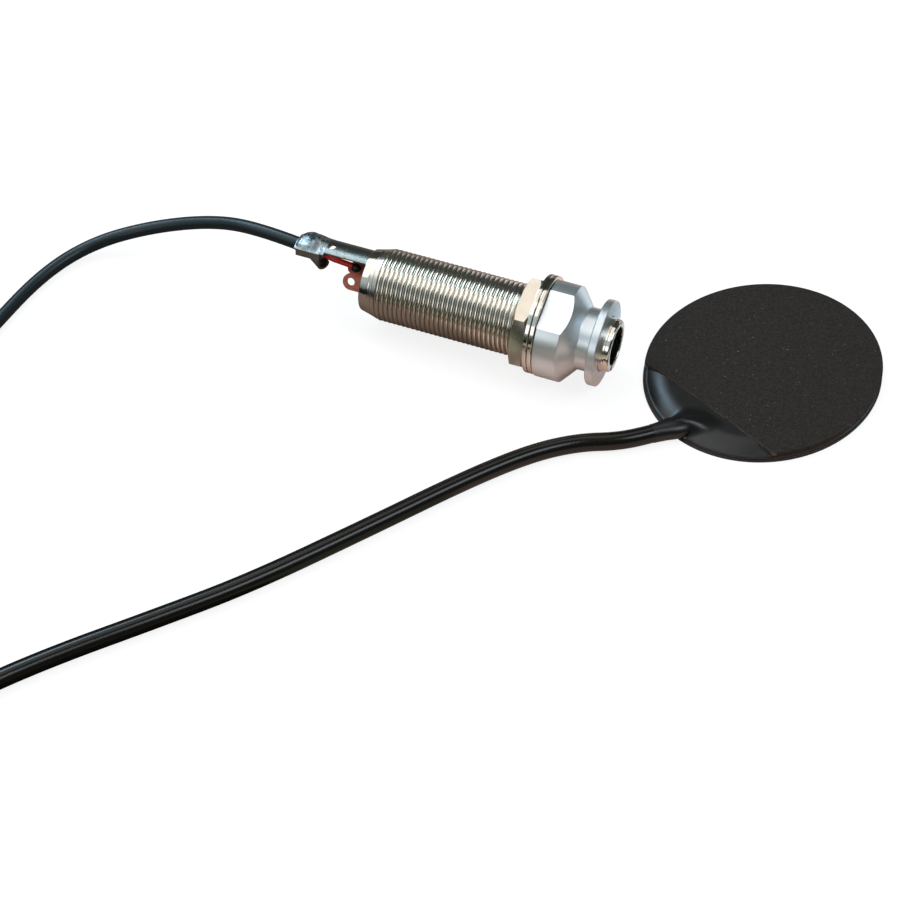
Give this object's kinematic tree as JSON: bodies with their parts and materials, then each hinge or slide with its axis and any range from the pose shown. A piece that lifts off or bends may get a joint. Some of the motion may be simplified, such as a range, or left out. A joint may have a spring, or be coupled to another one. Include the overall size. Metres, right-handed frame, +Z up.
{
  "type": "acoustic guitar pickup",
  "caption": "Flat piezo contact sensor on a thin screened lead, wired to an end pin strap button jack for an acoustic guitar.",
  "frame": {"origin": "centre of the plug bore's mouth at the nose of the jack", "axes": "+X along the jack's axis, out of its mouth; +Z up from the surface the pickup lies on; +Y across, with the sensor disc on the +Y side"},
  "size_m": [0.1413, 0.1428, 0.0161],
  "materials": {
    "nickel_plate": "bright nickel plate",
    "tinned_sheet": "tinned brass sheet, handled",
    "turned_aluminium": "fine turned",
    "lug_brass": "flash plated, warm, matte",
    "phenolic": "pressed laminate",
    "solder": "frosted",
    "lead_jacket": "smooth vinyl",
    "sleeve_jacket": "glossy shrunk tube",
    "core_red": "smooth vinyl",
    "tinned_strands": "tinned strands",
    "disc_brass": "rolled",
    "ceramic": "fired and silvered",
    "sensor_moulding": "glossy moulded",
    "pad_foam": "matt liner with sparse flecks"
  },
  "bodies": {
    "root": {"barrel": "nickel_plate", "strap_button": "turned_aluminium", "washers": "nickel_plate", "hex_nut": "nickel_plate", "ground_tongue": "tinned_sheet", "rear_wafer": "phenolic", "front_wafer": "phenolic", "wafer_spacer": "phenolic", "contact_liner": "phenolic", "tip_contact": "lug_brass", "ring_contact": "lug_brass", "lead_coil": "lead_jacket", "lead_at_sensor": "lead_jacket", "lead_at_jack": "lead_jacket", "lead_sleeve": "sleeve_jacket", "core_wire": "core_red", "screen_strands": "tinned_strands", "tongue_solder": "solder", "lug_solder": "solder", "sensor_base": "sensor_moulding", "brass_plate": "disc_brass", "piezo_ceramic": "ceramic", "core_tail": "tinned_strands", "screen_tail": "tinned_strands", "sensor_joints": "solder", "sensor_cover": "sensor_moulding", "adhesive_pad": "pad_foam"}
  },
  "joints": []
}
